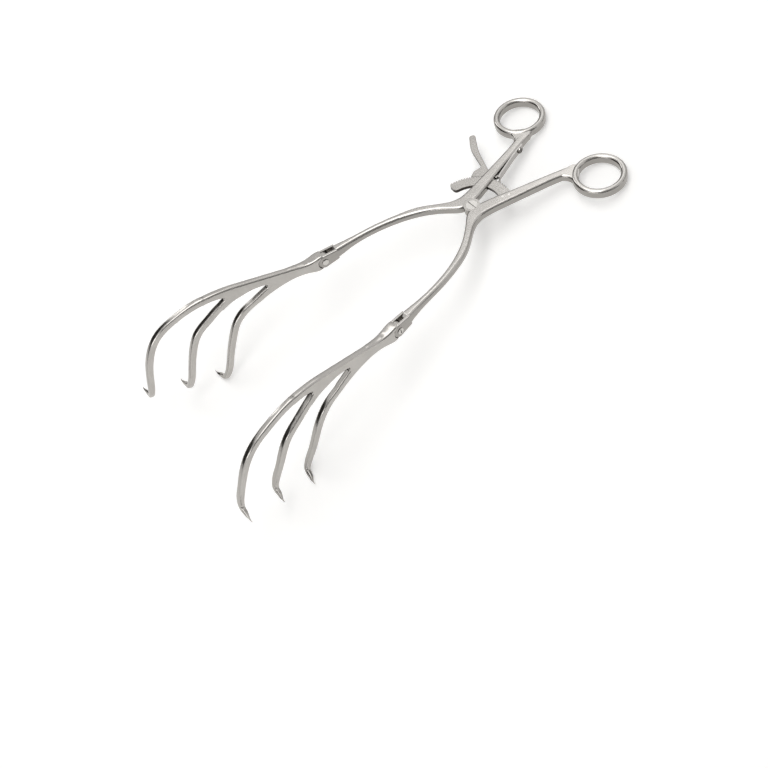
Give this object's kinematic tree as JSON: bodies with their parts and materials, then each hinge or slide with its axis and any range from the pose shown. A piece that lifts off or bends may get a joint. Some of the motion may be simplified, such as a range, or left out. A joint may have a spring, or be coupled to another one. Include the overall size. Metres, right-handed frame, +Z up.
{
  "type": "spinal retractor",
  "caption": "Self-retaining retractor: ring handles crossing at a screw pivot, a curved ratchet bar with a finger release, and a pronged blade hinged to the end of each arm.",
  "frame": {"origin": "on the table plane that the instrument lies on, under the middle of its outline", "axes": "+Y towards the finger rings, -Y towards the blades, +X towards the right handle's ring, +Z up from the table; the instrument lies on its ring ends and the hooks of its two inner prongs"},
  "size_m": [0.116, 0.2746, 0.0624],
  "materials": {
    "satin_steel_handles": "satin stainless steel with polished edges",
    "satin_steel_blades": "satin stainless steel",
    "satin_steel_ratchet": "satin stainless steel",
    "polished_steel_screws": "polished stainless steel",
    "spring_steel": "polished spring steel"
  },
  "bodies": {
    "left_handle_body": {"left_handle": "satin_steel_handles", "pivot_screw": "polished_steel_screws", "lever_pin": "polished_steel_screws", "lever_spring": "spring_steel", "spring_screw": "polished_steel_screws", "left_hinge_screw": "polished_steel_screws"},
    "right_handle_body": {"right_handle": "satin_steel_handles", "ratchet_bar": "satin_steel_ratchet", "ratchet_bar_rivets": "polished_steel_screws", "right_hinge_screw": "polished_steel_screws"},
    "lever_body": {"release_lever": "satin_steel_ratchet"},
    "left_blade_body": {"left_blade": "satin_steel_blades"},
    "right_blade_body": {"right_blade": "satin_steel_blades"}
  },
  "joints": [
    {"name": "main_pivot", "type": "hinge", "parent": "left_handle_body", "child": "right_handle_body", "pos_m": [0, 0.06169, 0.01718], "axis": [0, 0.1916, 0.9815], "range_deg": [-24, 24]},
    {"name": "release_lever", "type": "hinge", "parent": "left_handle_body", "child": "lever_body", "pos_m": [-0.0106, 0.08289, 0.01304], "axis": [0, 0.1916, 0.9815], "range_deg": [-8, 0], "stiffness_Nm_per_rad": 0.05, "springref_deg": 11.46, "deforming": ["lever_spring"]},
    {"name": "left_blade_hinge", "type": "hinge", "parent": "left_handle_body", "child": "left_blade_body", "pos_m": [-0.03385, -0.01583, 0.02977], "axis": [-0.989, 0.1451, -0.0283], "range_deg": [-45, 5]},
    {"name": "right_blade_hinge", "type": "hinge", "parent": "right_handle_body", "child": "right_blade_body", "pos_m": [0.03385, -0.01583, 0.02977], "axis": [-0.989, -0.1451, 0.0283], "range_deg": [-45, 5]}
  ]
}
